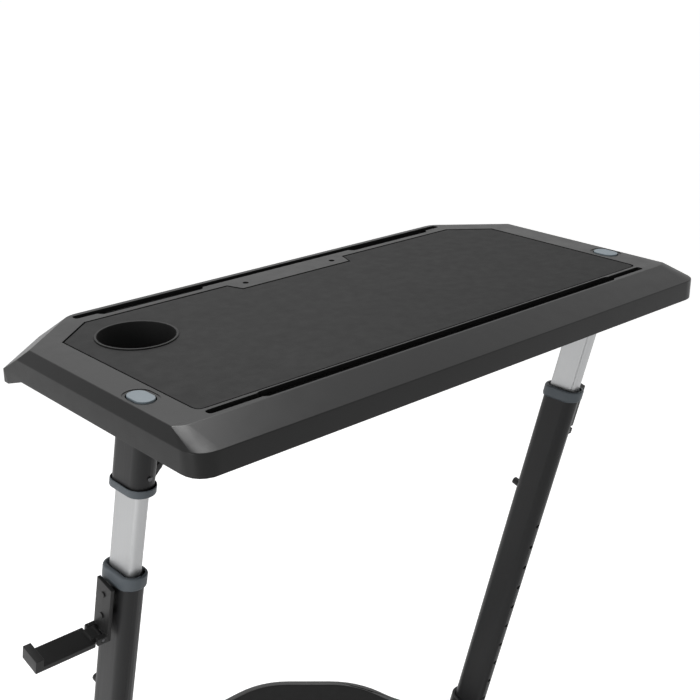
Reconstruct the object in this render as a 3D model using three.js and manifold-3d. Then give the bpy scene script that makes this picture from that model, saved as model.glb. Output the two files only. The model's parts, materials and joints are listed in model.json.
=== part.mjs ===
// Height-adjustable desk that stands over a bike on an indoor trainer.
// Millimetres, +Z up. The pieces are placed with x across from the middle of the desk,
// y away from the rider from the front edge, and z up from the flat of the desktop.

import * as THREE from 'three';
import { mergeVertices } from 'three/addons/utils/BufferGeometryUtils.js';
import Module from 'manifold-3d';

const wasm = await Module();
wasm.setup();

// General values
const clearance = 0.3;
const overrun = 6;
const easeSteps = 6;
const arcSteps = 3;
const roundSteps = 32;
const smallRoundSteps = 12;
const quarterTurn = Math.PI / 2;

// Desktop
const deskWidth = 800;
const deskHeight = 925;
const flatBack = 391;
const apronDepth = 44;
const apronDrop = 11.7;
const sideChamfer = 9.5;
const skirtDrop = 37;
const flatCornerRun = 10;
const flatCornerDepth = 7.4;
const flatCornerEase = 6;
const flatRearEase = 10;
const rearSlope = 43.6;
const rearDrop = 33.3;
const rearSkirtDrop = 47.5;
const sideToFlatBack = 24.8;
const sideBack = flatBack - sideToFlatBack;
const skirtStepFromBack = 41.2;
const skirtStepStart = sideBack - skirtStepFromBack;
const skirtStepRun = 30;
const skirtStepEnd = skirtStepStart + skirtStepRun;
const diagonalRun = 84;
const frontRadius = 28;
const rearRadius = 4;
const planeShare = 0.01;
const topThickness = 6;
const skirtWall = 4;

// Slots for screens and papers
const slotWall = 2;
const slotDepth = 18;
const frontSlotMargin = 52;
const frontSlotHalf = deskWidth / 2 - frontSlotMargin;
const frontSlotWidth = 10;
const frontWideBefore = 3.5;
const frontWideBehind = 2;
const frontSlotFromApron = 6;
const frontSlotFront = apronDepth + frontSlotFromApron;
const frontSlotBack = frontSlotFront + frontSlotWidth;
const frontNarrowLength = 69;
const frontWideHalf = frontSlotHalf - frontNarrowLength;
const frontWideFront = frontSlotFront - frontWideBefore;
const frontWideBack = frontSlotBack + frontWideBehind;
const rearSlotMargin = 99;
const rearSlotHalf = deskWidth / 2 - rearSlotMargin;
const rearSlotFromBack = 7;
const rearSlotWidth = 11;
const rearWideBefore = 6.5;
const rearSlotBack = flatBack - rearSlotFromBack;
const rearSlotFront = rearSlotBack - rearSlotWidth;
const rearNarrowLength = 33;
const rearWideInner = 127;
const rearWideOuter = rearSlotHalf - rearNarrowLength;
const rearWideFront = rearSlotFront - rearWideBefore;
const slotStep = 5;
const slotStepEase = 1;
const slotEndEase = 4.5;
const cableHoleRadius = 4;
const cableHoleX = 72;
const cableHoleFromSlot = 22;
const cableHoleY = rearSlotFront - cableHoleFromSlot;

// Mat set into the desktop
const matPastSlot = 3;
const matHalfWidth = frontSlotHalf + matPastSlot;
const matFromSlot = 3.5;
const matFront = frontWideBack + matFromSlot;
const matToRearSlot = 10;
const matBack = rearWideFront - matToRearSlot;
const matDiagonalRun = 52;
const matDiagonalDepth = 41.5;
const matSideBack = matBack - matDiagonalDepth;
const matBackHalf = matHalfWidth - matDiagonalRun;
const matNotchHalf = 97;
const matNotchFloorHalf = 89;
const matNotchDepth = 22.5;
const matNotchBack = matBack - matNotchDepth;
const matRadius = 9;
const matThickness = 2;
const matSunk = 0.3;
const matLine = 1.1;

// Cup holder
const cupFromSide = 120.5;
const cupX = cupFromSide - deskWidth / 2;
const cupFromMatBack = 76.8;
const cupY = matBack - cupFromMatBack;
const cupRadius = 44;
const cupWall = 1.2;
const cupLipWidth = 1.3;
const cupLipHeight = 1.2;
const cupDepth = 50;

// Legs, measured along the leg axis from the flat of the desktop
const legFromSide = 27.3;
const legX = deskWidth / 2 - legFromSide;
const legY = 129;
const legTilt = THREE.MathUtils.degToRad(14);
const socketFromFloor = 83.3;
const socketStart = deskHeight / Math.cos(legTilt) - socketFromFloor;
const outerTube = { width: 28, depth: 54.5, radius: 13.9, wall: 2.5 };
const tubePlay = { side: 3.3, end: 2.9 };
const innerTube = {
  width: outerTube.width - 2 * (outerTube.wall + tubePlay.side),
  depth: outerTube.depth - 2 * (outerTube.wall + tubePlay.end),
  radius: 5.6,
  wall: 2,
};
const grooveWidth = 1.2;
const grooveDepth = 0.8;
const sleeveWall = 2;
const collarStep = { side: 1.9, end: 3 };
const collar = {
  width: outerTube.width + 2 * collarStep.side,
  depth: outerTube.depth + 2 * collarStep.end,
  radius: outerTube.radius + collarStep.side,
};
const innerTubeStart = 40;

// Collars, cut level, measured straight down from the flat of the desktop
const upperCollarDrop = 99.4;
const upperCollarHeight = 9.6;
const upperCollarRim = 4;
const upperCollarPlay = 1;
const upperCollarLip = 17;
const lowerCollarDrop = 213.2;
const lowerCollarHeight = 16.5;
const lowerCollarCap = 5;
const lowerCollarLip = 36;
const collarMouthDepth = 3;
const collarMouthPlay = 1.8;

// Height lock
const holePitch = 42;
const holeCount = 10;
const lastHoleToSocket = 28;
const firstHole = socketStart - lastHoleToSocket - (holeCount - 1) * holePitch;
const restHole = 7;
const holeRadius = 3.5;
const plungerRadius = 3;
const plungerToRod = 2;
const plungerSetback = 0.6;
const plungerTravel = 4;
const glideHeight = 27;
const glidePlug = 20;
const rodRadius = 3;
const rodEndGap = 6;
const boreStep = 1;

// Release buttons on the desktop
const buttonWidth = 22;
const buttonLength = 34;
const buttonProud = 0.8;
const buttonHeight = 9.8;
const buttonGap = 1.4;
const buttonDishWidth = 3.4;
const buttonDishDepth = 0.8;
const springRadius = 10.5;
const springWall = 2;

// Brackets and beam under the desktop
const bracketDepth = 28;
const bracketReach = 26;
const bracketToe = 1.3;
const bracketLength = 98;
const bracketFaceHeight = 60;
const bracketBoss = { radius: 4.5, along: 82.4, proud: 1.5 };
const beamDepth = 40;
const beamHeight = 22;
const beamWall = 2.5;
const sleeveScrew = { radius: 1.6, headRadius: 2.6, headHeight: 1.2, along: 82.4 };

// Knob on the back of each outer tube
const knob = { radius: 5.5, length: 10, shaftRadius: 2.5, along: 417 };

// Folding hooks on the outer tubes
const hookStandoff = 5.5;
const hookBossRadius = 5;
const hookPlateStart = 234;
const hookPlateLength = 74;
const hookPlateThickness = 4.5;
const hookInset = 13;
const hookWidth = outerTube.depth - 2 * hookInset;
const hookShift = 1.8;
const hookScrew = { radius: 2, headRadius: 3.5, headHeight: 1.2, places: [249, 279] };
const hookPinRadius = 2;
const hookPinOut = 5;
const hookPinUp = 5.5;
const hookEar = 6;
const hookEarReach = 11.7;
const hookEarHeight = 9.5;
const hookRootRadius = 4.4;
const hookRootTop = 3.9;
const hookArmGap = 2.4;
const hookArmLength = 80.7;
const hookArmThickness = 6.5;
const hookTipThickness = 9.3;
const hookTipHeight = 17;

// Base on the floor
const baseHeight = 40;
const footHeight = 6;
const footRadius = 15;
const railWidth = 32;
const railRadius = 5;
const railWall = 3;
const railFront = 25;
const railBack = 400;
const capThickness = 4;
const capPlug = 12;
const footFromEnd = 30;
const socketWall = 6;
const socketFloor = 5;
const rearFrameBack = 668;
const rearBackInset = 199.7;
const rearFrameBackHalf = legX - rearBackInset;
const rearCornerInset = 68.7;
const rearFrameCornerX = legX - rearCornerInset;
const rearWaistInset = 53.7;
const rearFrameWaistX = legX - rearWaistInset;
const rearFrameArmStart = 300;
const rearFrameArmTurn = 395;
const rearFrameReach = rearFrameBack - rearFrameArmTurn;
const cornerShare = 0.564;
const rearFrameCornerY = rearFrameArmTurn + cornerShare * rearFrameReach;
const waistShare = 0.256;
const rearFrameWaistY = rearFrameArmTurn + waistShare * rearFrameReach;
const rearArmInset = 80.7;
const rearFrameArmInner = legX - rearArmInset;
const rearInnerInset = 110.7;
const rearFrameInnerX = legX - rearInnerInset;
const innerShare = 0.275;
const rearFrameInnerY = rearFrameArmTurn + innerShare * rearFrameReach;
const innerBackShare = 0.66;
const rearFrameInnerBack = rearFrameArmTurn + innerBackShare * rearFrameReach;
const rearInnerBackInset = 222.7;
const rearFrameInnerBackHalf = legX - rearInnerBackInset;
const radiusShare = 0.19;
const rearFrameRadius = radiusShare * rearFrameReach;
const waistRadiusShare = 0.08;
const rearFrameWaistRadius = waistRadiusShare * rearFrameReach;
const rearFrameSmallRadius = 12;
const treadRim = 12;
const treadDepth = 2;
const treadThickness = 1.7;
const rearFootInset = 137.7;
const rearFootX = legX - rearFootInset;
const rearFootY = rearFrameInnerBack;

// Transport wheels under the back edge
const wheelInset = 53;
const wheelX = rearFrameBackHalf - wheelInset;
const wheelRadius = 15;
const wheelWidth = 14;
const wheelFromBack = 10;
const wheelLift = 1;
const wheelSideGap = 1.5;
const wheelTopGap = 2;
const axleRadius = 3;
const axleSeat = 8;

// Materials
const finish = (color, roughness, metalness) =>
  new THREE.MeshStandardMaterial({ color, roughness, metalness });
const finishes = {
  desktop: () => finish(0x5a5a5a, 0.55, 0.1),
  mat: () => finish(0x464646, 0.8, 0),
  tray: () => finish(0x161616, 0.7, 0),
  tube: () => finish(0xb4b7b9, 0.35, 0.85),
  blackMetal: () => finish(0x333333, 0.45, 0.4),
  collar: () => finish(0x5a6066, 0.6, 0),
  button: () => finish(0x97a1a6, 0.5, 0),
  hook: () => finish(0x2b2b2b, 0.6, 0),
  steel: () => finish(0x8a8d90, 0.4, 0.9),
  base: () => finish(0x6b6b6b, 0.5, 0.3),
  rubber: () => finish(0x262626, 0.9, 0),
};

// Solids
function solidOf(geometry) {
  const bare = geometry.clone();
  bare.deleteAttribute('normal');
  bare.deleteAttribute('uv');
  const merged = mergeVertices(bare);
  return new wasm.Manifold(new wasm.Mesh({
    numProp: 3,
    vertProperties: new Float32Array(merged.attributes.position.array),
    triVerts: new Uint32Array(merged.index.array),
  }));
}

function geometryOf(solid) {
  const mesh = solid.getMesh();
  const geometry = new THREE.BufferGeometry();
  const points = new Float32Array(mesh.vertProperties);
  geometry.setAttribute('position', new THREE.BufferAttribute(points, mesh.numProp));
  geometry.setIndex(new THREE.BufferAttribute(new Uint32Array(mesh.triVerts), 1));
  const flat = geometry.toNonIndexed();
  flat.computeVertexNormals();
  return flat;
}

function joined(solids) {
  return solids.reduce((whole, solid) => whole.add(solid));
}

function without(solid, cuts) {
  return cuts.reduce((rest, cut) => rest.subtract(cut), solid);
}

// A prism standing on z = low, up to z = high
function prism(shape, low, high, steps = arcSteps) {
  const geometry = new THREE.ExtrudeGeometry(shape, {
    depth: high - low, bevelEnabled: false, curveSegments: steps,
  });
  return solidOf(geometry.translate(0, 0, low));
}

function box(x0, x1, y0, y1, z0, z1) {
  const geometry = new THREE.BoxGeometry(Math.abs(x1 - x0), Math.abs(y1 - y0), Math.abs(z1 - z0));
  return solidOf(geometry.translate((x0 + x1) / 2, (y0 + y1) / 2, (z0 + z1) / 2));
}

// Round rods along z, y and x, from one end to the other
function rodZ(radius, x, y, z0, z1, steps = smallRoundSteps) {
  const geometry = new THREE.CylinderGeometry(radius, radius, Math.abs(z1 - z0), steps);
  return solidOf(geometry.rotateX(quarterTurn).translate(x, y, (z0 + z1) / 2));
}

function rodY(radius, x, z, y0, y1, steps = smallRoundSteps) {
  const geometry = new THREE.CylinderGeometry(radius, radius, Math.abs(y1 - y0), steps);
  return solidOf(geometry.translate(x, (y0 + y1) / 2, z));
}

function rodX(radius, y, z, x0, x1, steps = smallRoundSteps) {
  const geometry = new THREE.CylinderGeometry(radius, radius, Math.abs(x1 - x0), steps);
  return solidOf(geometry.rotateZ(quarterTurn).translate((x0 + x1) / 2, y, z));
}

// A rectangle with round corners about (x, y)
function roundedBox(width, depth, radius, x = 0, y = 0) {
  const halfX = width / 2;
  const halfY = depth / 2;
  const shape = new THREE.Shape();
  shape.moveTo(x - halfX + radius, y - halfY);
  shape.lineTo(x + halfX - radius, y - halfY);
  shape.absarc(x + halfX - radius, y - halfY + radius, radius, -quarterTurn, 0);
  shape.lineTo(x + halfX, y + halfY - radius);
  shape.absarc(x + halfX - radius, y + halfY - radius, radius, 0, quarterTurn);
  shape.lineTo(x - halfX + radius, y + halfY);
  shape.absarc(x - halfX + radius, y + halfY - radius, radius, quarterTurn, Math.PI);
  shape.lineTo(x - halfX, y - halfY + radius);
  shape.absarc(x - halfX + radius, y - halfY + radius, radius, Math.PI, Math.PI + quarterTurn);
  return shape;
}

// An outline of corners { x, y, r }, each eased over r along its two edges
function easedShape(corners) {
  const shape = new THREE.Shape();
  corners.forEach((corner, index) => {
    const before = corners[(index + corners.length - 1) % corners.length];
    const after = corners[(index + 1) % corners.length];
    const into = new THREE.Vector2(before.x - corner.x, before.y - corner.y).setLength(corner.r);
    const away = new THREE.Vector2(after.x - corner.x, after.y - corner.y).setLength(corner.r);
    if (index === 0) shape.moveTo(corner.x + into.x, corner.y + into.y);
    else shape.lineTo(corner.x + into.x, corner.y + into.y);
    if (corner.r > 0) shape.quadraticCurveTo(corner.x, corner.y, corner.x + away.x, corner.y + away.y);
  });
  return shape;
}

// The same outline moved in by a distance, for corners listed anticlockwise
function movedIn(corners, distance) {
  return corners.map((corner, index) => {
    const before = corners[(index + corners.length - 1) % corners.length];
    const after = corners[(index + 1) % corners.length];
    const first = new THREE.Vector2(corner.x - before.x, corner.y - before.y).normalize();
    const second = new THREE.Vector2(after.x - corner.x, after.y - corner.y).normalize();
    const across = new THREE.Vector2(-first.y - second.y, first.x + second.x).normalize();
    const reach = distance / (across.x * -first.y + across.y * first.x);
    const turn = Math.atan2(first.x * second.y - first.y * second.x, first.dot(second));
    const r = corner.r > 0 ? Math.max(corner.r - distance * Math.tan(turn / 2), 0) : 0;
    return { x: corner.x + across.x * reach, y: corner.y + across.y * reach, r };
  });
}

// Mirrors the right half of an outline, listed from front to back, to a whole one
function bothHalves(half) {
  const other = half.map(({ x, y, r }) => ({ x: -x, y, r })).reverse();
  return [...half, ...other];
}

// Scene graph
const desk = new THREE.Group();

function addPiece(name, solid, material, parent = desk) {
  const mesh = new THREE.Mesh(geometryOf(solid), material());
  mesh.name = name;
  parent.add(mesh);
  return mesh;
}

const sides = [{ side: 'left', out: -1 }, { side: 'right', out: 1 }];
const legGroups = {};
sides.forEach(({ side, out }) => {
  const leg = new THREE.Group();
  leg.position.set(out * legX, legY, 0);
  leg.rotation.x = legTilt;
  desk.add(leg);
  legGroups[side] = leg;
});

// Level planes as seen in a leg's own frame
const legLevel = [0, Math.sin(legTilt), Math.cos(legTilt)];
const legLevelDown = legLevel.map((value) => -value);
function belowLevel(solid, z) {
  return solid.trimByPlane(legLevelDown, -z);
}
function aboveLevel(solid, z) {
  return solid.trimByPlane(legLevel, z);
}
function between(solid, top, bottom) {
  return aboveLevel(belowLevel(solid, top), bottom);
}

// Slots are cut in the desktop, and their trays line them
function frontSlot(grow, low, high) {
  const half = [
    { x: frontWideHalf, y: frontWideFront, r: slotStepEase },
    { x: frontWideHalf + slotStep, y: frontSlotFront, r: slotStepEase },
    { x: frontSlotHalf, y: frontSlotFront, r: slotEndEase },
    { x: frontSlotHalf, y: frontSlotBack, r: slotEndEase },
    { x: frontWideHalf + slotStep, y: frontSlotBack, r: slotStepEase },
    { x: frontWideHalf, y: frontWideBack, r: slotStepEase },
  ];
  return prism(easedShape(movedIn(bothHalves(half), -grow)), low, high);
}

function rearSlot(grow, low, high) {
  const half = [
    { x: rearWideInner - slotStep, y: rearSlotFront, r: slotStepEase },
    { x: rearWideInner, y: rearWideFront, r: slotStepEase },
    { x: rearWideOuter, y: rearWideFront, r: slotStepEase },
    { x: rearWideOuter + slotStep, y: rearSlotFront, r: slotStepEase },
    { x: rearSlotHalf, y: rearSlotFront, r: slotEndEase },
    { x: rearSlotHalf, y: rearSlotBack, r: slotEndEase },
  ];
  return prism(easedShape(movedIn(bothHalves(half), -grow)), low, high);
}

// Desktop shell
const deskBack = flatBack + rearSlope;
const deskOutline = bothHalves([
  { x: deskWidth / 2, y: 0, r: frontRadius },
  { x: deskWidth / 2, y: sideBack, r: rearRadius },
  { x: deskWidth / 2 - diagonalRun, y: deskBack, r: rearRadius },
]);
const diagonal = new THREE.Vector2(deskBack - sideBack, diagonalRun).normalize();
const diagonalFlat = diagonal.dot(new THREE.Vector2(deskWidth / 2, sideBack)) - rearSlope;
const flatHalf = deskWidth / 2 - sideChamfer;
const flatOutline = bothHalves([
  { x: flatHalf - flatCornerRun, y: apronDepth, r: flatCornerEase },
  { x: flatHalf, y: apronDepth + flatCornerDepth, r: 0 },
  { x: flatHalf, y: (diagonalFlat - diagonal.x * flatHalf) / diagonal.y, r: 0 },
  { x: (diagonalFlat - diagonal.y * flatBack) / diagonal.x, y: flatBack, r: flatRearEase },
]);

// Slopes from the edge of the flat down to each stretch of the outline
const flatPoints = easedShape(flatOutline).getPoints(easeSteps);
const edgePoints = easedShape(deskOutline).getPoints(easeSteps);
const bevels = edgePoints.map((point, index) => {
  const next = edgePoints[(index + 1) % edgePoints.length];
  const out = new THREE.Vector2(next.y - point.y, point.x - next.x).normalize();
  const flat = Math.max(...flatPoints.map((flatPoint) => out.dot(flatPoint)));
  const drop = out.y > diagonal.y - planeShare ? rearDrop : apronDrop;
  return { x: point.x, y: point.y, nx: out.x, ny: out.y, run: out.dot(point) - flat, drop };
}).filter(({ nx, ny }) => nx * nx + ny * ny > planeShare
  && (ny < planeShare || ny > diagonal.y - planeShare));

// Cuts the sloping edges, set in from the outside by a depth
function bevelled(solid, depth) {
  return bevels.reduce((rest, { x, y, nx, ny, run, drop }) => {
    const normal = new THREE.Vector3(nx * drop, ny * drop, run).normalize();
    const offset = normal.dot(new THREE.Vector3(x, y, -drop)) - depth;
    return rest.trimByPlane([-normal.x, -normal.y, -normal.z], -offset);
  }, solid);
}

function matOutline(grow) {
  const half = [
    { x: matHalfWidth, y: matFront, r: matRadius },
    { x: matHalfWidth, y: matSideBack, r: 0 },
    { x: matBackHalf, y: matBack, r: 0 },
    { x: matNotchHalf, y: matBack, r: 0 },
    { x: matNotchFloorHalf, y: matNotchBack, r: 0 },
  ];
  return easedShape(movedIn(bothHalves(half), -grow));
}

function buttonShape(grow) {
  return roundedBox(buttonWidth + 2 * grow, buttonLength + 2 * grow, buttonWidth / 2 + grow);
}

function skirtCut() {
  const profile = new THREE.Shape();
  profile.moveTo(-overrun, -skirtDrop);
  profile.lineTo(-overrun, -rearSkirtDrop - overrun);
  profile.lineTo(skirtStepEnd, -rearSkirtDrop - overrun);
  profile.lineTo(skirtStepEnd, -rearSkirtDrop);
  profile.lineTo(skirtStepStart, -skirtDrop);
  const geometry = new THREE.ExtrudeGeometry(profile, {
    depth: deskWidth + 2 * overrun, bevelEnabled: false,
  });
  const turn = new THREE.Matrix4().makeBasis(
    new THREE.Vector3(0, 1, 0), new THREE.Vector3(0, 0, 1), new THREE.Vector3(1, 0, 0));
  return solidOf(geometry.applyMatrix4(turn).translate(-deskWidth / 2 - overrun, 0, 0));
}

const cupOuter = cupRadius + cupWall;
function desktopShell() {
  const outside = bevelled(prism(easedShape(deskOutline), -rearSkirtDrop, 0, easeSteps), 0);
  const insideOutline = easedShape(movedIn(deskOutline, skirtWall));
  const inside = bevelled(
    prism(insideOutline, -rearSkirtDrop - overrun, -topThickness, easeSteps), skirtWall);
  const matPocket = prism(matOutline(matLine), -matThickness - matSunk - clearance, overrun);
  const buttonHoles = sides.map(({ out }) =>
    prism(buttonShape(buttonGap), -topThickness - overrun, overrun).translate([out * legX, legY, 0]));
  const buttonDishes = sides.map(({ out }) =>
    prism(buttonShape(buttonGap + buttonDishWidth), -buttonDishDepth, overrun)
      .translate([out * legX, legY, 0]));
  const cableHoles = sides.map(({ out }) =>
    rodZ(cableHoleRadius, out * cableHoleX, cableHoleY, -topThickness - overrun, overrun));
  const cupHole = rodZ(cupOuter + clearance, cupX, cupY, -topThickness - overrun, overrun, roundSteps);
  return without(outside, [
    inside, skirtCut(), matPocket, cupHole, ...buttonHoles, ...buttonDishes, ...cableHoles,
    frontSlot(0, -topThickness - overrun, overrun), rearSlot(0, -topThickness - overrun, overrun),
  ]);
}

addPiece('desktop_shell', desktopShell(), finishes.desktop);

const matCupHole = rodZ(cupOuter + clearance, cupX, cupY, -overrun, overrun, roundSteps);
addPiece('desktop_mat',
  prism(matOutline(0), -matThickness - matSunk, -matSunk).subtract(matCupHole), finishes.mat);

// Slot trays, each a trough under its slot
const trayTop = -topThickness - clearance;
const trayFloor = -slotDepth - slotWall;
addPiece('front_slot_tray',
  frontSlot(slotWall, trayFloor, trayTop).subtract(frontSlot(0, -slotDepth, overrun)), finishes.tray);
addPiece('rear_slot_tray',
  rearSlot(slotWall, trayFloor, trayTop).subtract(rearSlot(0, -slotDepth, overrun)), finishes.tray);

// Cup holder, a cup whose lip rests on the desktop
function cupSolid() {
  const lip = cupOuter + clearance + cupLipWidth;
  return without(joined([
    rodZ(cupOuter, cupX, cupY, -cupDepth, cupLipHeight, roundSteps),
    rodZ(lip, cupX, cupY, 0, cupLipHeight, roundSteps),
  ]), [rodZ(cupRadius, cupX, cupY, -cupDepth + slotWall, cupLipHeight + overrun, roundSteps)]);
}
addPiece('cup_holder', cupSolid(), finishes.tray);

// Beam between the brackets of the two legs
const undersideGap = topThickness + clearance;
const bracketInner = legX - outerTube.width / 2 - clearance - bracketReach;
const beamY = legY + Math.tan(legTilt) * (undersideGap + beamHeight / 2);
function beamSolid() {
  const end = bracketInner - clearance;
  const halfDepth = beamDepth / 2;
  const top = -undersideGap;
  return without(box(-end, end, beamY - halfDepth, beamY + halfDepth, top - beamHeight, top), [
    box(-end - overrun, end + overrun, beamY - halfDepth + beamWall, beamY + halfDepth - beamWall,
      top - beamHeight + beamWall, top - beamWall),
  ]);
}
addPiece('cross_beam', beamSolid(), finishes.blackMetal);

// Tube sections, solid or hollow, along a leg from one distance to the next
function legPrism({ width, depth, radius }, grow, from, to) {
  return prism(roundedBox(width + 2 * grow, depth + 2 * grow, radius + grow), -to, -from);
}

const sleeveEnd = -upperCollarDrop - upperCollarRim;
const tubeTop = -lowerCollarDrop - lowerCollarCap - clearance;
const glideStart = firstHole + restHole * holePitch - glideHeight / 2;
const plungerAlong = firstHole + restHole * holePitch;
const floorZ = -deskHeight;
const baseTopZ = floorZ + baseHeight;
const frameBottomZ = floorZ + footHeight;
const socketInnerFloor = baseTopZ + clearance + socketFloor;

sides.forEach(({ side, out }) => {
  const leg = legGroups[side];
  const inward = -out;
  const halfOuter = outerTube.width / 2;

  // Sleeve fixed under the desktop
  const screwHole = rodY(sleeveScrew.radius + clearance, 0, -sleeveScrew.along, -outerTube.depth, 0);
  const sleeve = without(legPrism(outerTube, 0, -overrun, deskHeight),
    [legPrism(outerTube, -sleeveWall, -overrun - overrun, deskHeight), screwHole]);
  addPiece(`${side}_leg_sleeve`, between(sleeve, -undersideGap, sleeveEnd), finishes.blackMetal, leg);

  // Grey collar round the sleeve's end, with a lip up inside it
  const upperCollarEnd = -upperCollarDrop - upperCollarHeight;
  const upperCollar = without(joined([
    between(legPrism(collar, 0, 0, deskHeight), -upperCollarDrop, upperCollarEnd)
      .subtract(aboveLevel(legPrism(outerTube, upperCollarPlay, 0, deskHeight), sleeveEnd - clearance)),
    between(legPrism(outerTube, -sleeveWall - clearance, 0, deskHeight),
      sleeveEnd + upperCollarLip, upperCollarEnd),
  ]), [legPrism(innerTube, clearance, 0, deskHeight), screwHole]);
  addPiece(`${side}_upper_collar`, upperCollar, finishes.collar, leg);

  const screwTip = innerTube.depth / 2 + 2 * clearance;
  const screwSeat = outerTube.depth / 2 + clearance;
  addPiece(`${side}_sleeve_screw`, joined([
    rodY(sleeveScrew.radius, 0, -sleeveScrew.along, -screwTip, -screwSeat),
    rodY(sleeveScrew.headRadius, 0, -sleeveScrew.along, -screwSeat, -screwSeat - sleeveScrew.headHeight),
  ]), finishes.steel, leg);

  // Bracket from the sleeve to the beam, with a round boss on its front
  const profile = new THREE.Shape();
  const near = halfOuter + clearance;
  profile.moveTo(near, 0);
  profile.lineTo(near, -bracketLength);
  profile.lineTo(near + bracketToe, -bracketLength);
  profile.lineTo(near + bracketReach, -bracketFaceHeight);
  profile.lineTo(near + bracketReach, 0);
  const bracketGeometry = new THREE.ExtrudeGeometry(profile, { depth: bracketDepth, bevelEnabled: false })
    .rotateX(quarterTurn).translate(0, bracketDepth / 2, 0);
  if (inward < 0) bracketGeometry.rotateZ(Math.PI);
  const boss = rodY(bracketBoss.radius, inward * (near + bracketBoss.radius), -bracketBoss.along,
    -bracketDepth / 2 - bracketBoss.proud, 0, roundSteps);
  const bracket = belowLevel(joined([solidOf(bracketGeometry), boss]), -undersideGap);
  addPiece(`${side}_sleeve_bracket`, bracket, finishes.blackMetal, leg);

  // Silver inner tube, and the glide block that holds the lock pin at its lower end
  const tubeEnd = glideStart - clearance;
  const halfInner = innerTube.width / 2;
  const cornerStart = innerTube.radius - innerTube.depth / 2;
  addPiece(`${side}_inner_tube`, without(legPrism(innerTube, 0, innerTubeStart, tubeEnd), [
    legPrism(innerTube, -innerTube.wall, innerTubeStart - overrun, tubeEnd + overrun),
    box(inward * (halfInner - grooveDepth), inward * (halfInner + overrun),
      cornerStart - grooveWidth, cornerStart, -tubeEnd - overrun, -innerTubeStart + overrun),
  ]), finishes.tube, leg);

  const glideHalfDepth = outerTube.depth / 2 - outerTube.wall - clearance;
  const pinNose = -glideHalfDepth + plungerSetback;
  const pinTail = -rodRadius - plungerToRod;
  addPiece(`${side}_glide_block`, without(joined([
    legPrism(outerTube, -outerTube.wall - clearance, glideStart, glideStart + glideHeight),
    legPrism(innerTube, -innerTube.wall - clearance, glideStart - glidePlug, glideStart + clearance),
  ]), [
    rodY(plungerRadius + clearance, 0, -plungerAlong, -outerTube.depth, pinTail + plungerTravel + boreStep),
    rodZ(rodRadius + clearance, 0, 0, -plungerAlong, -glideStart + glidePlug + overrun),
  ]), finishes.collar, leg);
  addPiece(`${side}_lock_pin`, rodY(plungerRadius, 0, -plungerAlong, pinNose, pinTail), finishes.steel, leg);

  // Release button, its push rod and return spring
  const buttonBottom = buttonProud - buttonHeight;
  const button = prism(buttonShape(0), buttonBottom, buttonProud).translate([out * legX, legY, 0]);
  addPiece(`${side}_release_button`, button, finishes.button);
  const rodEnd = plungerAlong - plungerRadius - rodEndGap;
  const rod = rodZ(rodRadius, 0, 0, -rodEnd, 0);
  addPiece(`${side}_push_rod`, belowLevel(rod, buttonBottom - clearance), finishes.steel, leg);
  const springLow = -innerTubeStart + clearance;
  const spring = rodZ(springRadius, 0, 0, springLow, 0, roundSteps).subtract(
    rodZ(springRadius - springWall, 0, 0, springLow - overrun, overrun, roundSteps));
  addPiece(`${side}_button_spring`, belowLevel(spring, buttonBottom - clearance), finishes.steel, leg);

  // Outer tube with its row of holes
  const holes = Array.from({ length: holeCount }, (_, index) =>
    rodY(holeRadius, 0, -(firstHole + index * holePitch), -outerTube.depth, 0));
  const knobHole = rodY(knob.shaftRadius + clearance, 0, -knob.along, 0, outerTube.depth);
  const hookHoles = hookScrew.places.map((place) =>
    rodX(hookScrew.radius + clearance, hookShift, -place, 0, out * outerTube.width));
  const outer = without(legPrism(outerTube, 0, 0, deskHeight), [
    legPrism(outerTube, -outerTube.wall, -overrun, deskHeight + overrun),
    ...holes, knobHole, ...hookHoles,
  ]);
  addPiece(`${side}_outer_tube`,
    between(outer, tubeTop, socketInnerFloor + clearance), finishes.blackMetal, leg);

  // Grey collar on the outer tube, with a lip down inside it
  const lowerCollar = without(joined([
    between(legPrism(collar, 0, 0, deskHeight), -lowerCollarDrop, -lowerCollarDrop - lowerCollarHeight)
      .subtract(belowLevel(legPrism(outerTube, clearance, 0, deskHeight), tubeTop + clearance)),
    between(legPrism(outerTube, -outerTube.wall - clearance, 0, deskHeight),
      -lowerCollarDrop, -lowerCollarDrop - lowerCollarLip),
  ]), [
    legPrism(innerTube, clearance, 0, deskHeight),
    aboveLevel(legPrism(innerTube, collarMouthPlay, 0, deskHeight), -lowerCollarDrop - collarMouthDepth),
  ]);
  addPiece(`${side}_lower_collar`, lowerCollar, finishes.collar, leg);

  const knobSeat = outerTube.depth / 2 + clearance;
  addPiece(`${side}_stop_knob`, joined([
    rodY(knob.shaftRadius, 0, -knob.along, outerTube.depth / 2 - outerTube.wall + clearance, knobSeat),
    rodY(knob.radius, 0, -knob.along, knobSeat, knobSeat + knob.length),
  ]), finishes.hook, leg);

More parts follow.
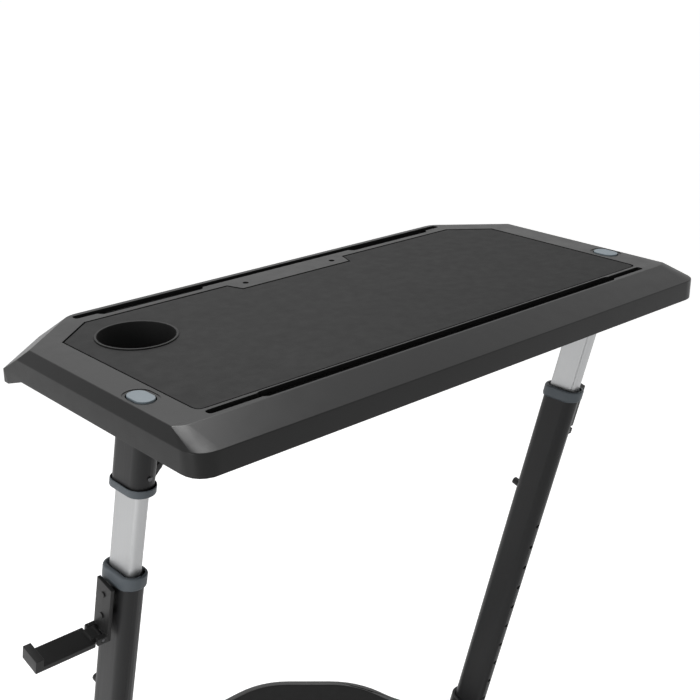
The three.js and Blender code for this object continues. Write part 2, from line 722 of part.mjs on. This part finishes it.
  // Hook plate, held off the tube by two bosses, with ears for the pin
  const plateIn = halfOuter + hookStandoff;
  const plateOut = plateIn + hookPlateThickness;
  const plateEnd = hookPlateStart + hookPlateLength;
  const halfHook = hookWidth / 2;
  const pinX = plateOut + hookPinOut;
  const pinZ = -plateEnd + hookPinUp;
  const hookRear = hookShift + halfHook;
  const hookFront = hookShift - halfHook;
  const ears = [-1, 1].map((end) => box(out * (plateOut - clearance), out * (plateOut + hookEarReach),
    hookShift + end * (halfHook - hookEar), hookShift + end * halfHook,
    -plateEnd, -plateEnd + hookEarHeight));
  addPiece(`${side}_hook_plate`, without(joined([
    box(out * plateIn, out * plateOut, hookFront, hookRear, -plateEnd, -hookPlateStart),
    ...hookScrew.places.map((place) => rodX(
      hookBossRadius, hookShift, -place, out * (halfOuter + clearance), out * (plateIn + clearance))),
    ...ears,
  ]), [
    rodY(hookPinRadius + clearance, out * pinX, pinZ, hookFront - overrun, hookRear + overrun),
    ...hookScrew.places.map((place) =>
      rodX(hookScrew.radius + clearance, hookShift, -place, 0, out * (plateOut + overrun))),
  ]), finishes.hook, leg);

  hookScrew.places.forEach((place, index) => {
    const screwEnd = halfOuter - outerTube.wall + clearance;
    const headSeat = plateOut + clearance;
    addPiece(`${side}_hook_screw_${index + 1}`, joined([
      rodX(hookScrew.radius, hookShift, -place, out * screwEnd, out * headSeat),
      rodX(hookScrew.headRadius, hookShift, -place, out * headSeat, out * (headSeat + hookScrew.headHeight)),
    ]), finishes.hook, leg);
  });

  addPiece(`${side}_hook_pin`,
    rodY(hookPinRadius, out * pinX, pinZ, hookFront, hookRear), finishes.steel, leg);

  // Hook arm about its pin: the left one is down and the right one is folded up
  const pivot = new THREE.Group();
  pivot.position.set(out * pinX, hookShift, pinZ);
  if (side === 'right') pivot.rotation.y = -quarterTurn;
  leg.add(pivot);
  const rootHalf = halfHook - hookEar - clearance;
  const armStart = hookEarReach - hookPinOut + hookArmGap;
  const armBottom = -hookPinUp;
  const armTop = armBottom + hookArmThickness;
  addPiece(`${side}_hook_arm`, without(joined([
    rodY(hookRootRadius, 0, 0, -rootHalf, rootHalf, roundSteps),
    box(0, out * (armStart + hookArmGap), -rootHalf, rootHalf, armBottom + clearance, hookRootTop),
    box(out * armStart, out * hookArmLength, -halfHook, halfHook, armBottom, armTop),
    box(out * (hookArmLength - hookTipThickness), out * hookArmLength, -halfHook, halfHook,
      armBottom, armBottom + hookTipHeight),
  ]), [rodY(hookPinRadius + clearance, 0, 0, -halfHook, halfHook)]), finishes.hook, pivot);

  // Socket that stands the leg on its side rail
  const pastFloor = 2 * deskHeight;
  const socket = without(legPrism(outerTube, socketWall, socketStart, pastFloor), [
    aboveLevel(legPrism(outerTube, clearance, socketStart - overrun, pastFloor), socketInnerFloor),
  ]);
  addPiece(`${side}_leg_socket`, aboveLevel(socket, baseTopZ + clearance), finishes.hook, leg);
});

// Base: side rails with caps and feet
const railHeight = baseTopZ - frameBottomZ;
const railMidZ = (baseTopZ + frameBottomZ) / 2;
function railPrism(grow, x, y0, y1) {
  const radius = railRadius + Math.max(grow, -railWall);
  const section = roundedBox(railWidth + 2 * grow, railHeight + 2 * grow, radius);
  const geometry = new THREE.ExtrudeGeometry(section, {
    depth: y1 - y0, bevelEnabled: false, curveSegments: arcSteps,
  });
  return solidOf(geometry.rotateX(quarterTurn).translate(x, y1, railMidZ));
}

sides.forEach(({ side, out }) => {
  const x = out * legX;
  addPiece(`${side}_side_rail`, railPrism(0, x, railFront, railBack).subtract(
    railPrism(-railWall, x, railFront - overrun, railBack + overrun)), finishes.base);
  addPiece(`${side}_rail_cap`, joined([
    railPrism(0, x, railFront - clearance - capThickness, railFront - clearance),
    railPrism(-railWall - clearance, x, railFront - clearance - clearance, railFront + capPlug),
  ]), finishes.hook);
  addPiece(`${side}_front_foot`, rodZ(footRadius, x, railFront + footFromEnd,
    floorZ, frameBottomZ - clearance, roundSteps), finishes.rubber);
  addPiece(`${side}_rear_foot`, rodZ(footRadius, out * rearFootX, rearFootY,
    floorZ, frameBottomZ - clearance, roundSteps), finishes.rubber);
});

// Rear frame: a flat band round the back, with a rubber tread in its top
const armOuter = legX - railWidth / 2 - clearance;
const rearFrameOutline = [
  { x: armOuter, y: rearFrameArmStart, r: 0 },
  { x: armOuter, y: rearFrameArmTurn, r: rearFrameSmallRadius },
  { x: rearFrameWaistX, y: rearFrameWaistY, r: rearFrameWaistRadius },
  { x: rearFrameCornerX, y: rearFrameCornerY, r: rearFrameRadius },
  { x: rearFrameBackHalf, y: rearFrameBack, r: rearFrameRadius },
];
const rearFrameInside = [
  { x: rearFrameInnerBackHalf, y: rearFrameInnerBack, r: rearFrameSmallRadius },
  { x: rearFrameInnerX, y: rearFrameInnerY, r: rearFrameWaistRadius },
  { x: rearFrameArmInner, y: rearFrameArmStart, r: 0 },
];
function mirroredBand(outside, inside) {
  const flip = (corners) => corners.map(({ x, y, r }) => ({ x: -x, y, r })).reverse();
  return [...outside, ...flip(outside), ...flip(inside), ...inside];
}
const band = mirroredBand(rearFrameOutline, rearFrameInside);
const treadFloorZ = baseTopZ - treadDepth;
const wheelY = rearFrameBack - wheelFromBack;
const wheelZ = floorZ + wheelLift + wheelRadius;

function rearFrame() {
  const pockets = sides.map(({ out }) => box(
    out * wheelX - wheelWidth / 2 - wheelSideGap, out * wheelX + wheelWidth / 2 + wheelSideGap,
    wheelY - wheelRadius - wheelTopGap, rearFrameBack + overrun,
    frameBottomZ - overrun, wheelZ + wheelRadius + wheelTopGap));
  const holeHalf = wheelWidth / 2 + wheelSideGap + axleSeat;
  const axleHoles = sides.map(({ out }) => rodX(axleRadius + clearance, wheelY, wheelZ,
    out * wheelX - holeHalf, out * wheelX + holeHalf));
  const tread = prism(easedShape(movedIn(band, treadRim)), treadFloorZ, baseTopZ + overrun, easeSteps);
  return without(prism(easedShape(band), frameBottomZ, baseTopZ, easeSteps),
    [tread, ...pockets, ...axleHoles]);
}
addPiece('rear_frame', rearFrame(), finishes.base);
addPiece('rear_tread', prism(easedShape(movedIn(band, treadRim + clearance)),
  treadFloorZ + clearance, treadFloorZ + clearance + treadThickness, easeSteps), finishes.rubber);

// Transport wheels, clear of the floor until the desk is tipped back
sides.forEach(({ side, out }) => {
  const x = out * wheelX;
  const half = wheelWidth / 2;
  const tyre = rodX(wheelRadius, wheelY, wheelZ, x - half, x + half, roundSteps);
  addPiece(`${side}_transport_wheel`, tyre.subtract(
    rodX(axleRadius + clearance, wheelY, wheelZ, x - half - overrun, x + half + overrun)), finishes.rubber);
  const axleHalf = half + wheelSideGap + axleSeat - clearance;
  const axle = rodX(axleRadius, wheelY, wheelZ, x - axleHalf, x + axleHalf);
  addPiece(`${side}_wheel_axle`, axle, finishes.steel);
});

// The origin is on the floor under the middle of the whole desk
desk.updateMatrixWorld(true);
const bounds = new THREE.Box3().setFromObject(desk, true);
const middle = bounds.getCenter(new THREE.Vector3());
desk.position.set(-middle.x, -middle.y, -bounds.min.z);
desk.updateMatrixWorld(true);

export default desk;
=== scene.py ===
import json
import math

import bmesh
import bpy
from mathutils import Matrix, Vector
from mathutils.bvhtree import BVHTree


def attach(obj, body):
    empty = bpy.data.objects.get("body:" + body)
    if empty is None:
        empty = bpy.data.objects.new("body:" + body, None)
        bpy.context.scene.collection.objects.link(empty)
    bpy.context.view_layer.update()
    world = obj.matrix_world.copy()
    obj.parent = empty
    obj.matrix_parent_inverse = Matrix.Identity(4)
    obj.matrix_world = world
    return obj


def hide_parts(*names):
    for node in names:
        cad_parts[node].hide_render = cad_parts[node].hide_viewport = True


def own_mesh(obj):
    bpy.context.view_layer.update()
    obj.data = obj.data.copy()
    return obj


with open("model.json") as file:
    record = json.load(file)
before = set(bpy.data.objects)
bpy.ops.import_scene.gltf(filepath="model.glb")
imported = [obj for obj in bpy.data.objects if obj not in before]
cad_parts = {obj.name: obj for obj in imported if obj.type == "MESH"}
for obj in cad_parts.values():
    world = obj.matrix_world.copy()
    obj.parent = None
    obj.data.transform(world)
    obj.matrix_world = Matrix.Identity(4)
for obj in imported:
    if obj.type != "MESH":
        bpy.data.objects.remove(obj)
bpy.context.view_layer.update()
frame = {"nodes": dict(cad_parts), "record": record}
nodes = frame["nodes"]

# Camera at the photograph's angle
CAMERA_PLACE = (-0.92093, -1.15123, 1.38781)
CAMERA_RIGHT = (0.738889, -0.673828, 0.0)
CAMERA_UP = (0.239003, 0.262091, 0.934979)
CAMERA_FORWARD = (0.630017, 0.690844, -0.354703)
CAMERA_LENS = 62.63
SENSOR_WIDTH = 36
CLIP_END = 200

SIDES = ("left", "right")
TILT = math.radians(14)  # of the legs, which lean forward

# Desktop: height of its flat, its middle and half width, and the tips where the rear diagonals start
DESK_TOP = 0.925
DESK_MIDDLE = 0.037
DESK_HALF = 0.4
TIP_Y = 0.03
TIP_REACH = 0.014

# Faces of the desktop, told apart by their normal's height and their area
FLAT_NORMAL = 0.999
FLAT_HEIGHT_ERROR = 0.0005
SLOPE_NORMAL = 0.3
UNDERSIDE_NORMAL = -0.37
OUTER_AREA = 0.0004

# Edges that are rounded: least turn between their faces, and the openings' share of the width
ROUNDED_TURN = math.radians(35)
DESKTOP_TURN = math.radians(33)
OPENING_WEIGHT = 0.2

# Softened copies: distance below which two points are one, what counts as an upright wall, how far
# a corner between two walls may reach in, and how much large faces set the normals
SAME_POINT = 2e-6
SAME_POINT_AFTER_BEVEL = 5e-6
UPRIGHT_NORMAL = 0.5
LEAST_WALL_SHARE = 0.5
NORMAL_WEIGHT = 80

# White surroundings: strength as a light, and strength where they are seen or mirrored
SKY_LIGHT = 0.45
SKY_SEEN = 1.0
FLOOR_SEEN = 0.62
FLOOR_GREY = 0.8
FLOOR_ROUGHNESS = 0.9
FLOOR_RADIUS = 40
FLOOR_CORNERS = 64

# Return springs of the buttons
SPRING_WIRE = 0.0016
SPRING_TURNS = 5.5
SPRING_FLAT = 0.75  # turns without rise at each end
SPRING_STEPS = 24
SPRING_END_DEPTH = 1e-5
WIRE_SIDES = 8


def add_object(name, data):
    made = bpy.data.objects.new(name, data)
    bpy.context.scene.collection.objects.link(made)
    return made


def add_camera():
    data = bpy.data.cameras.new("camera")
    data.sensor_width = SENSOR_WIDTH
    data.lens = CAMERA_LENS
    data.clip_end = CLIP_END
    camera = add_object("camera", data)
    turn = Matrix((CAMERA_RIGHT, CAMERA_UP, [-v for v in CAMERA_FORWARD])).transposed()
    camera.matrix_world = Matrix.Translation(CAMERA_PLACE) @ turn.to_4x4()
    bpy.context.scene.camera = camera


# Materials
NOISE_MIDDLE = (0.3, 0.7)
NOISE_ROUGHNESS = 0.55


class Shader:
    """A procedural material on a Principled shader, with short names for its nodes."""

    def __init__(self, name, color, roughness, metallic=0.0, **sockets):
        self.material = bpy.data.materials.new(name)
        self.material.use_nodes = True
        self.tree = self.material.node_tree
        self.body = self.tree.nodes["Principled BSDF"]
        self.body.inputs["Metallic"].default_value = metallic
        self.body.inputs["Base Color"].default_value = (*color, 1)
        self.body.inputs["Roughness"].default_value = roughness
        for socket, value in sockets.items():
            self.body.inputs[socket.replace("_", " ")].default_value = value
        self.color = color
        self.roughness = roughness
        self.place = self.node("ShaderNodeTexCoord").outputs["Object"]

    def node(self, kind, **settings):
        made = self.tree.nodes.new(kind)
        for key, value in settings.items():
            setattr(made, key, value)
        return made

    def link(self, source, target):
        self.tree.links.new(source, target)

    def along_leg(self, share):
        """Object coordinates, turned to the legs and drawn out along them."""
        turn = self.node("ShaderNodeMapping")
        turn.inputs["Rotation"].default_value = (-TILT, 0, 0)
        self.link(self.place, turn.inputs["Vector"])
        stretch = self.node("ShaderNodeMapping")
        stretch.inputs["Scale"].default_value = (1, 1, share)
        self.link(turn.outputs["Vector"], stretch.inputs["Vector"])
        return stretch.outputs["Vector"]

    def noise(self, scale, detail, place=None):
        made = self.node("ShaderNodeTexNoise")
        made.inputs["Scale"].default_value = scale
        made.inputs["Detail"].default_value = detail
        made.inputs["Roughness"].default_value = NOISE_ROUGHNESS
        self.link(place or self.place, made.inputs["Vector"])
        return made.outputs["Fac"]

    def cells(self, scale):
        made = self.node("ShaderNodeTexVoronoi")
        made.inputs["Scale"].default_value = scale
        self.link(self.place, made.inputs["Vector"])
        return made.outputs["Distance"]

    def ranged(self, value, new_low, new_high):
        """The middle range of a noise value, mapped to a new range."""
        made = self.node("ShaderNodeMapRange")
        low, high = NOISE_MIDDLE
        ends = {"From Min": low, "From Max": high, "To Min": new_low, "To Max": new_high}
        for key, number in ends.items():
            made.inputs[key].default_value = number
        self.link(value, made.inputs["Value"])
        return made.outputs["Result"]

    def mottle(self, value, amount):
        """Colour varies by amount as value goes through its middle range."""
        mix = self.node("ShaderNodeMix", data_type="RGBA")
        mix.inputs["A"].default_value = (*[c * (1 - amount) for c in self.color], 1)
        mix.inputs["B"].default_value = (*[c * (1 + amount) for c in self.color], 1)
        self.link(self.ranged(value, 0, 1), mix.inputs["Factor"])
        self.link(mix.outputs["Result"], self.body.inputs["Base Color"])

    def vary_gloss(self, value, amount):
        gloss = self.ranged(value, self.roughness - amount, self.roughness + amount)
        self.link(gloss, self.body.inputs["Roughness"])

    def bump(self, *layers):
        """Each layer is (value, strength, distance in metres)."""
        normal = None
        for value, strength, distance in layers:
            made = self.node("ShaderNodeBump")
            made.inputs["Strength"].default_value = strength
            made.inputs["Distance"].default_value = distance
            self.link(value, made.inputs["Height"])
            if normal:
                self.link(normal, made.inputs["Normal"])
            normal = made.outputs["Normal"]
        self.link(normal, self.body.inputs["Normal"])


def moulded(name, color, roughness, **sockets):
    """Moulded plastic with a fine spark-eroded grain."""
    shader = Shader(name, color, roughness, **sockets)
    shader.mottle(shader.noise(scale=14, detail=4), amount=0.035)
    shader.vary_gloss(shader.noise(scale=45, detail=3), amount=0.035)
    grain = shader.noise(scale=1500, detail=2)
    shader.bump((grain, 0.25, 0.00012), (shader.noise(scale=38, detail=2), 0.15, 0.00015))
    return shader.material


def rubbery(name, color, roughness, cell=700, **sockets):
    """Soft rubber with a pebbled skin."""
    shader = Shader(name, color, roughness, **sockets)
    shader.mottle(shader.noise(scale=22, detail=5), amount=0.05)
    shader.vary_gloss(shader.noise(scale=70, detail=3), amount=0.03)
    pebbles = shader.cells(cell)
    shader.bump((pebbles, 0.3, 0.0002), (shader.noise(scale=30, detail=2), 0.12, 0.0002))
    return shader.material


def drawn(name, color, roughness, metallic=0.0, **sockets):
    """Extruded metal with fine lines along its length and a soft anodised grain."""
    shader = Shader(name, color, roughness, metallic, **sockets)
    streaks = shader.noise(scale=1100, detail=3, place=shader.along_leg(0.012))
    shader.mottle(shader.noise(scale=9, detail=3, place=shader.along_leg(0.2)), amount=0.03)
    shader.vary_gloss(streaks, amount=0.05)
    shader.bump((streaks, 0.12, 0.00006), (shader.noise(scale=2200, detail=2), 0.08, 0.00005))
    return shader.material


def coated(name, color, roughness, **sockets):
    """Powder coat with a fine orange-peel surface."""
    shader = Shader(name, color, roughness, **sockets)
    shader.mottle(shader.noise(scale=18, detail=4), amount=0.04)
    shader.vary_gloss(shader.noise(scale=60, detail=3), amount=0.04)
    shader.bump((shader.noise(scale=520, detail=3), 0.22, 0.00025))
    return shader.material


def machined(name, color, roughness):
    """Turned or rolled steel."""
    shader = Shader(name, color, roughness, metallic=1.0)
    shader.mottle(shader.noise(scale=60, detail=4), amount=0.05)
    shader.vary_gloss(shader.noise(scale=300, detail=3), amount=0.06)
    shader.bump((shader.noise(scale=1500, detail=2), 0.1, 0.00005))
    return shader.material


MATERIALS = {
    "desktop": moulded("desktop_plastic", (0.0105, 0.0105, 0.0105), 0.36, Specular_IOR_Level=0.19),
    "mat": rubbery("mat_rubber", (0.012, 0.012, 0.012), 0.68, Specular_IOR_Level=0.14),
    "tray": moulded("tray_plastic", (0.015, 0.015, 0.015), 0.6, Specular_IOR_Level=0.15),
    "tube": drawn("satin_aluminium", (0.41, 0.414, 0.418), 0.42, metallic=0.85),
    "black_metal": drawn("black_aluminium", (0.014, 0.014, 0.0145), 0.42, Specular_IOR_Level=0.18),
    "collar": moulded("collar_plastic", (0.077, 0.09, 0.101), 0.5, Specular_IOR_Level=0.3),
    "button": moulded("button_plastic", (0.185, 0.22, 0.245), 0.5, Specular_IOR_Level=0.3),
    "hook": moulded("hook_plastic", (0.018, 0.018, 0.018), 0.45, Specular_IOR_Level=0.22),
    "steel": machined("plain_steel", (0.4, 0.41, 0.42), 0.35),
    "base": coated("powder_coat", (0.03, 0.03, 0.03), 0.45, Specular_IOR_Level=0.3),
    "rear_base": moulded("base_plastic", (0.04, 0.04, 0.04), 0.45, Specular_IOR_Level=0.4),
    "rubber": rubbery("black_rubber", (0.012, 0.012, 0.012), 0.75, cell=400, Specular_IOR_Level=0.12),
}

BLACK_STEEL = machined("blackened_steel", (0.09, 0.09, 0.094), 0.4)
BLACKENED = ("sleeve_screw", "hook_pin")

RECORD = frame["record"]
SLOT_OF = {row["node"]: row["material_slot"] for row in RECORD["subparts"]}
BODY_OF = {node: body for body, listed in RECORD["behaviour"]["bodies"].items() for node in listed}


def dress(obj, material):
    obj.data.materials.clear()
    obj.data.materials.append(material)


# Softened copies of the CAD solids
def drawn_in(edit, amount):
    """Moves the upright walls of a flat piece inwards by an amount."""
    steps = {}
    for vert in edit.verts:
        walls = [f.normal for f in vert.link_faces if abs(f.normal.z) < UPRIGHT_NORMAL]
        if walls:
            out = sum(walls, Vector()).normalized()
            steps[vert] = out * (amount / max(min(out.dot(n) for n in walls), LEAST_WALL_SHARE))
    for vert, step in steps.items():
        vert.co -= step


def held(piece, node, width):
    """Applies the bevel, and brings points that it threw off the solid back to its surface."""
    graph = bpy.context.evaluated_depsgraph_get()
    mesh = bpy.data.meshes.new_from_object(piece.evaluated_get(graph))
    cad = nodes[node].data
    solid = BVHTree.FromPolygons([v.co for v in cad.vertices], [p.vertices for p in cad.polygons])
    for vertex in mesh.vertices:
        spot, _, _, gap = solid.find_nearest(vertex.co)
        if gap > width:
            vertex.co = spot
    edit = bmesh.new()
    edit.from_mesh(mesh)
    bmesh.ops.remove_doubles(edit, verts=edit.verts, dist=SAME_POINT_AFTER_BEVEL)
    bmesh.ops.dissolve_degenerate(edit, edges=edit.edges, dist=SAME_POINT_AFTER_BEVEL)
    edit.to_mesh(mesh)
    edit.free()
    piece.modifiers.clear()
    piece.data = mesh


def present(piece, node, material):
    """Gives a piece its material and its body, and hides the CAD node that it stands for."""
    dress(piece, material)
    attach(piece, BODY_OF[node])
    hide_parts(node)


def softened(node, width, segments=2, weigh=None, material=None, narrower=0.0):
    """A copy of a CAD node with rounded edges and smooth curves, which stands for the node."""
    mesh = nodes[node].data.copy()
    mesh.name = node + "_soft"
    edit = bmesh.new()
    edit.from_mesh(mesh)
    bmesh.ops.remove_doubles(edit, verts=edit.verts, dist=SAME_POINT)
    if narrower:
        edit.normal_update()
        drawn_in(edit, narrower)
    weight = edit.edges.layers.float.new("bevel_weight_edge")
    for edge in edit.edges:
        if len(edge.link_faces) == 2:
            turn = edge.calc_face_angle(0.0)
            edge[weight] = weigh(edge, turn) if weigh else float(turn > ROUNDED_TURN)
    for face in edit.faces:
        face.smooth = True
    edit.to_mesh(mesh)
    edit.free()
    piece = add_object(node + "_soft", mesh)
    bevel = piece.modifiers.new("edges", "BEVEL")
    bevel.limit_method = "WEIGHT"
    bevel.width = width
    bevel.segments = segments
    bevel.use_clamp_overlap = False
    bevel.loop_slide = False
    held(piece, node, width + narrower)
    weighted = piece.modifiers.new("normals", "WEIGHTED_NORMAL")
    weighted.weight = NORMAL_WEIGHT
    weighted.keep_sharp = True
    present(piece, node, material or MATERIALS[SLOT_OF[node]])


def coil_spring(side):
    """A coil with closed ends inside the CAD spring."""
    node = f"{side}_button_spring"
    down = Vector((0, math.sin(TILT), -math.cos(TILT)))
    behind = Vector((0, math.cos(TILT), math.sin(TILT)))
    points = [vertex.co.copy() for vertex in nodes[node].data.vertices]
    centre_x = (min(p.x for p in points) + max(p.x for p in points)) / 2
    lowest = max(p.dot(down) for p in points)
    end = [p for p in points if lowest - p.dot(down) < SPRING_END_DEPTH]
    foot = Vector((centre_x, sum(p.y for p in end) / len(end), sum(p.z for p in end) / len(end)))
    outside = max((p - foot).dot(behind) for p in end)
    wire = SPRING_WIRE / 2
    radius = outside - wire
    top = max(p.z for p in points)

    def height(back):
        """Length along the leg from the foot plane to the spring's level top."""
        return (top - foot.z - back * behind.z) / -down.z

    verts, faces = [], []
    steps = round(SPRING_TURNS * SPRING_STEPS)
    for step in range(steps + 1):
        turns = step / SPRING_STEPS
        angle = 2 * math.pi * turns
        spoke = Vector((math.cos(angle), 0, 0)) + behind * math.sin(angle)
        share = min(max((turns - SPRING_FLAT) / (SPRING_TURNS - 2 * SPRING_FLAT), 0), 1)
        high = height(outside * math.sin(angle)) - wire / -down.z
        middle = foot + spoke * radius - down * (wire + (high - wire) * share)
        for ring in range(WIRE_SIDES):
            turn = 2 * math.pi * ring / WIRE_SIDES
            verts.append(middle + (spoke * math.cos(turn) - down * math.sin(turn)) * wire)
    for step in range(steps):
        for ring in range(WIRE_SIDES):
            here, after = step * WIRE_SIDES, (step + 1) * WIRE_SIDES
            other = (ring + 1) % WIRE_SIDES
            faces.append((here + ring, here + other, after + other, after + ring))
    faces.append(tuple(reversed(range(WIRE_SIDES))))
    faces.append(tuple(range(steps * WIRE_SIDES, (steps + 1) * WIRE_SIDES)))

    mesh = bpy.data.meshes.new(node + "_coil")
    mesh.from_pydata(verts, [], faces)
    edit = bmesh.new()
    edit.from_mesh(mesh)
    bmesh.ops.recalc_face_normals(edit, faces=edit.faces)
    for face in edit.faces:
        face.smooth = len(face.verts) == 4
    edit.to_mesh(mesh)
    edit.free()
    piece = add_object(node + "_coil", mesh)
    present(piece, node, MATERIALS[SLOT_OF[node]])
    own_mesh(piece)


def desktop_weight(edge, turn):
    """Wide rounding on the outer edges, narrow rounding round the openings, none at the tips."""
    middle = (edge.verts[0].co + edge.verts[1].co) / 2
    from_side = abs(abs(middle.x - DESK_MIDDLE) - DESK_HALF)
    if from_side < TIP_REACH and abs(middle.y - TIP_Y) < TIP_REACH:
        return 0.0
    faces = edge.link_faces
    top = any(f.normal.z > FLAT_NORMAL
              and abs(f.calc_center_median().z - DESK_TOP) < FLAT_HEIGHT_ERROR for f in faces)
    slope = any(SLOPE_NORMAL < f.normal.z < FLAT_NORMAL for f in faces)
    outer = any(UNDERSIDE_NORMAL < f.normal.z < FLAT_NORMAL
                and f.calc_area() > OUTER_AREA for f in faces)
    if top and slope:
        return 1.0
    if turn < DESKTOP_TURN:
        return 0.0
    if slope or (outer and not top):
        return 1.0
    return OPENING_WEIGHT


def add_light(name, place, aim, size, power):
    data = bpy.data.lights.new(name, "AREA")
    data.shape = "RECTANGLE"
    data.size, data.size_y = size
    data.energy = power
    light = add_object(name, data)
    light.location = place
    light.rotation_euler = (Vector(aim) - Vector(place)).to_track_quat("-Z", "Y").to_euler()


def lit_paths(tree):
    """1 for camera, glossy and transmission rays, and 0 for the rest."""
    path = tree.nodes.new("ShaderNodeLightPath")
    total = path.outputs["Is Camera Ray"]
    for name in ("Is Glossy Ray", "Is Transmission Ray"):
        add = tree.nodes.new("ShaderNodeMath")
        add.operation = "ADD"
        tree.links.new(total, add.inputs[0])
        tree.links.new(path.outputs[name], add.inputs[1])
        total = add.outputs[0]
    return total


def add_sky():
    """A white world, brighter where it is seen or mirrored than as a light."""
    world = bpy.data.worlds.new("studio")
    bpy.context.scene.world = world
    world.use_nodes = True
    tree = world.node_tree
    sky = tree.nodes["Background"]
    sky.inputs["Color"].default_value = (1, 1, 1, 1)
    strength = tree.nodes.new("ShaderNodeMapRange")
    strength.inputs["To Min"].default_value = SKY_LIGHT
    strength.inputs["To Max"].default_value = SKY_SEEN
    tree.links.new(lit_paths(tree), strength.inputs["Value"])
    tree.links.new(strength.outputs["Result"], sky.inputs["Strength"])


def add_floor():
    """A pale floor, which glows only where it is seen or mirrored."""
    bpy.ops.mesh.primitive_circle_add(vertices=FLOOR_CORNERS, radius=FLOOR_RADIUS,
                                      fill_type="NGON", location=(0, 0, 0))
    floor = bpy.context.object
    floor.name = "floor"
    material = bpy.data.materials.new("pale_floor")
    material.use_nodes = True
    tree = material.node_tree
    body = tree.nodes["Principled BSDF"]
    body.inputs["Base Color"].default_value = (FLOOR_GREY, FLOOR_GREY, FLOOR_GREY, 1)
    body.inputs["Roughness"].default_value = FLOOR_ROUGHNESS
    body.inputs["Emission Color"].default_value = (1, 1, 1, 1)
    strength = tree.nodes.new("ShaderNodeMath")
    strength.operation = "MULTIPLY"
    strength.inputs[1].default_value = FLOOR_SEEN
    tree.links.new(lit_paths(tree), strength.inputs[0])
    tree.links.new(strength.outputs[0], body.inputs["Emission Strength"])
    dress(floor, material)


add_camera()
bpy.context.scene.view_settings.view_transform = "Standard"
add_sky()
add_floor()
add_light("overhead", place=(0.3, 0.75, 2.5), aim=(-0.3, -0.2, 0.9), size=(0.6, 0.6), power=24)
add_light("left_side", place=(-3.2, -0.4, 1.1), aim=(0.0, 0.0, 0.7), size=(1.6, 2.2), power=38)

softened("desktop_shell", width=0.001, weigh=desktop_weight)
softened("desktop_mat", width=0.0006, narrower=0.0008)
for name in ("front_slot_tray", "rear_slot_tray"):
    softened(name, width=0.0004)
softened("cup_holder", width=0.0005, segments=3)

# Width of the rounded edges of the pieces that each side has
EDGES = {
    "leg_sleeve": 0.0005, "upper_collar": 0.0012, "sleeve_screw": 0.0004, "sleeve_bracket": 0.0006,
    "inner_tube": 0.0004, "glide_block": 0.0005, "release_button": 0.0006, "outer_tube": 0.0004,
    "lower_collar": 0.002, "stop_knob": 0.0008, "hook_plate": 0.0008, "hook_screw_1": 0.0004,
    "hook_screw_2": 0.0004, "hook_pin": 0.0003, "hook_arm": 0.0007, "leg_socket": 0.0012,
    "side_rail": 0.0005, "rail_cap": 0.0008, "front_foot": 0.0012, "rear_foot": 0.0012,
    "transport_wheel": 0.0014, "wheel_axle": 0.0004, "lock_pin": 0.0005, "push_rod": 0.0004,
}
for side in SIDES:
    for tail, width in EDGES.items():
        softened(f"{side}_{tail}", width, material=BLACK_STEEL if tail in BLACKENED else None)
    coil_spring(side)
softened("rear_frame", width=0.003, segments=3)
softened("rear_tread", width=0.0005)
softened("cross_beam", width=0.0006)

for node, solid in nodes.items():
    dress(solid, MATERIALS[SLOT_OF[node]])
